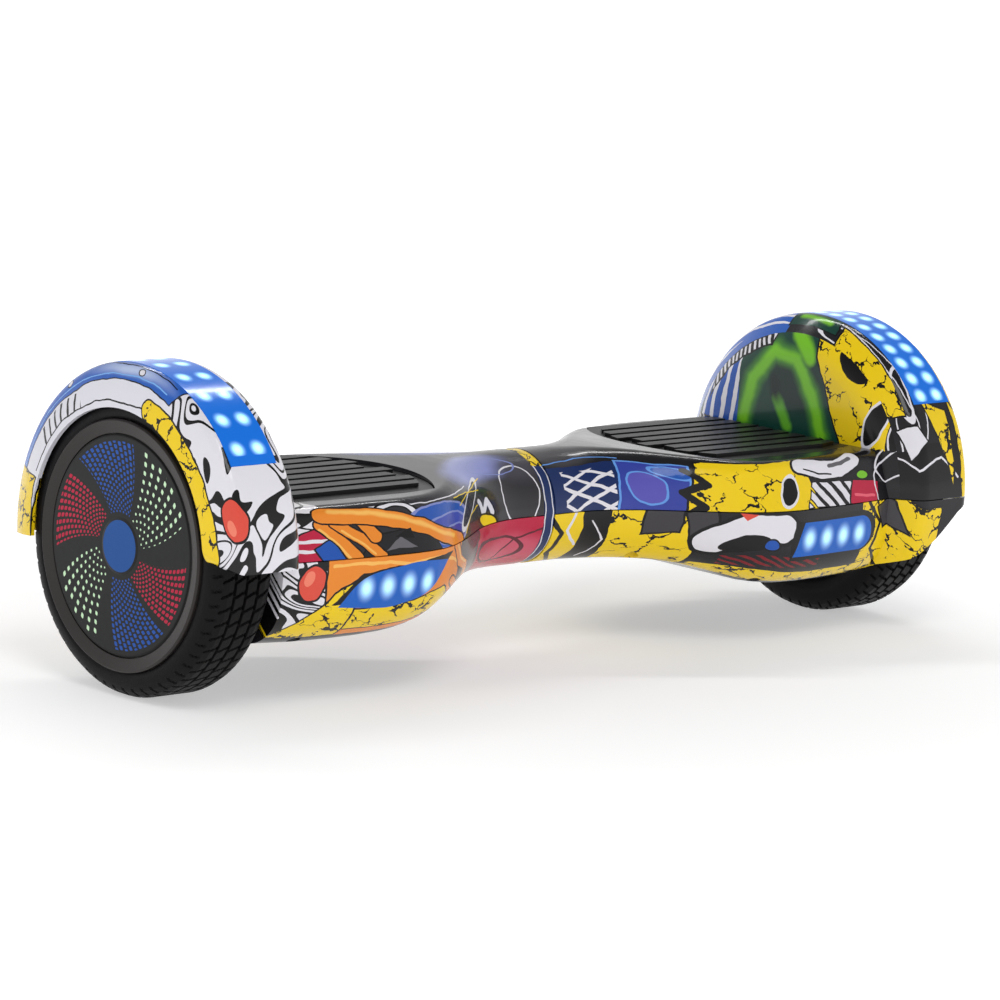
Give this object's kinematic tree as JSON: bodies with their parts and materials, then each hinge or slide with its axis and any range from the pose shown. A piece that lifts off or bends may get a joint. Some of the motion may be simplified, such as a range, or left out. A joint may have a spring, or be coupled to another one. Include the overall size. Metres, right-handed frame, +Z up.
{
  "type": "self balancing hoverboard",
  "caption": "Two-wheel self-balancing board: two printed casings twist on a central tube, with hub-motor wheels under lit fenders and sprung rubber foot pads.",
  "frame": {"origin": "on the ground under the middle of the board", "axes": "+X along the wheel axle towards the half with the power button, -Y towards the headlamps, +Z up"},
  "size_m": [0.584, 0.201, 0.1845],
  "materials": {
    "printed_shell": "glossy printed plastic with a graffiti-style pattern",
    "light_strip": "lit translucent blue with bright points",
    "lamp_lens": "lit clear blue lens",
    "circuit_board": "solder-mask green with parts",
    "steel_fastener": "blackened steel",
    "foot_pad_rubber": "smooth black rubber with satin ribs",
    "black_plastic": "fine-textured black plastic",
    "cast_aluminium": "cast, satin",
    "steel": "ground steel",
    "laminated_core": "varnished laminations",
    "copper_wire": "enamelled copper wire",
    "magnet": "nickel plated",
    "tyre_rubber": "moulded black rubber tread",
    "grey_plastic": "grey-brown satin plastic",
    "wheel_cap_plastic": "dark grey with dotted coloured vanes",
    "bronze": "sintered bronze",
    "battery_wrap": "blue shrink wrap over metal cells",
    "power_button_plastic": "grey button with a lit ring",
    "cap_rubber": "soft black rubber"
  },
  "bodies": {
    "left_half": {"upper_shell_left": "printed_shell", "lower_shell_left": "printed_shell", "fender_lamp_left": "light_strip", "fender_led_board_left": "circuit_board", "headlamp_lens_left": "lamp_lens", "headlamp_board_left": "circuit_board", "shell_screws_left": "steel_fastener", "pedal_plate_left": "black_plastic", "sensor_board_left": "circuit_board", "chassis_frame_left": "cast_aluminium", "axle_clamp_left": "cast_aluminium", "clamp_bolts_left": "steel_fastener", "motor_axle_left": "steel", "motor_stator_left": "laminated_core", "motor_windings_left": "copper_wire", "pivot_tube": "steel", "pivot_circlip": "steel", "pivot_trim_ring": "printed_shell", "twist_stop_pin": "steel", "battery_pack": "battery_wrap"},
    "right_half": {"upper_shell_right": "printed_shell", "lower_shell_right": "printed_shell", "fender_lamp_right": "light_strip", "fender_led_board_right": "circuit_board", "headlamp_lens_right": "lamp_lens", "headlamp_board_right": "circuit_board", "shell_screws_right": "steel_fastener", "pedal_plate_right": "black_plastic", "sensor_board_right": "circuit_board", "chassis_frame_right": "cast_aluminium", "axle_clamp_right": "cast_aluminium", "clamp_bolts_right": "steel_fastener", "motor_axle_right": "steel", "motor_stator_right": "laminated_core", "motor_windings_right": "copper_wire", "pivot_bushes": "bronze", "main_board": "circuit_board", "power_bezel": "black_plastic", "charge_port": "black_plastic", "charge_cap_pin": "steel"},
    "wheel_left": {"rotor_shell_left": "cast_aluminium", "magnet_ring_left": "magnet", "motor_side_cover_left": "cast_aluminium", "cover_screws_left": "steel_fastener", "hub_bearings_left": "steel", "tyre_left": "tyre_rubber", "wheel_trim_ring_left": "grey_plastic", "wheel_cap_left": "wheel_cap_plastic"},
    "wheel_right": {"rotor_shell_right": "cast_aluminium", "magnet_ring_right": "magnet", "motor_side_cover_right": "cast_aluminium", "cover_screws_right": "steel_fastener", "hub_bearings_right": "steel", "tyre_right": "tyre_rubber", "wheel_trim_ring_right": "grey_plastic", "wheel_cap_right": "wheel_cap_plastic"},
    "foot_pad_left": {"foot_pad_left": "foot_pad_rubber"},
    "foot_pad_right": {"foot_pad_right": "foot_pad_rubber"},
    "power_button": {"power_button": "power_button_plastic"},
    "charge_cap": {"charge_port_cap": "cap_rubber"}
  },
  "joints": [
    {"name": "twist", "type": "hinge", "parent": "left_half", "child": "right_half", "pos_m": [0, 0, 0.084], "axis": [1, 0, 0], "range_deg": [-15, 15]},
    {"name": "wheel_left_spin", "type": "hinge", "parent": "left_half", "child": "wheel_left", "pos_m": [-0.266, 0, 0.084], "axis": [1, 0, 0], "continuous": true},
    {"name": "wheel_right_spin", "type": "hinge", "parent": "right_half", "child": "wheel_right", "pos_m": [0.266, 0, 0.084], "axis": [1, 0, 0], "continuous": true},
    {"name": "foot_pad_left_press", "type": "slide", "parent": "left_half", "child": "foot_pad_left", "axis": [0, 0, -1], "range_m": [0, 0.0015], "stiffness_N_per_m": 12000, "springref_m": -0.0005},
    {"name": "foot_pad_right_press", "type": "slide", "parent": "right_half", "child": "foot_pad_right", "axis": [0, 0, -1], "range_m": [0, 0.0015], "stiffness_N_per_m": 12000, "springref_m": -0.0005},
    {"name": "power_button_press", "type": "slide", "parent": "right_half", "child": "power_button", "axis": [0, -1, 0], "range_m": [0, 0.0015], "stiffness_N_per_m": 800, "springref_m": -0.0005},
    {"name": "charge_cap_hinge", "type": "hinge", "parent": "right_half", "child": "charge_cap", "pos_m": [0.194, 0.093, 0.0816], "axis": [1, 0, 0], "range_deg": [0, 100]}
  ]
}
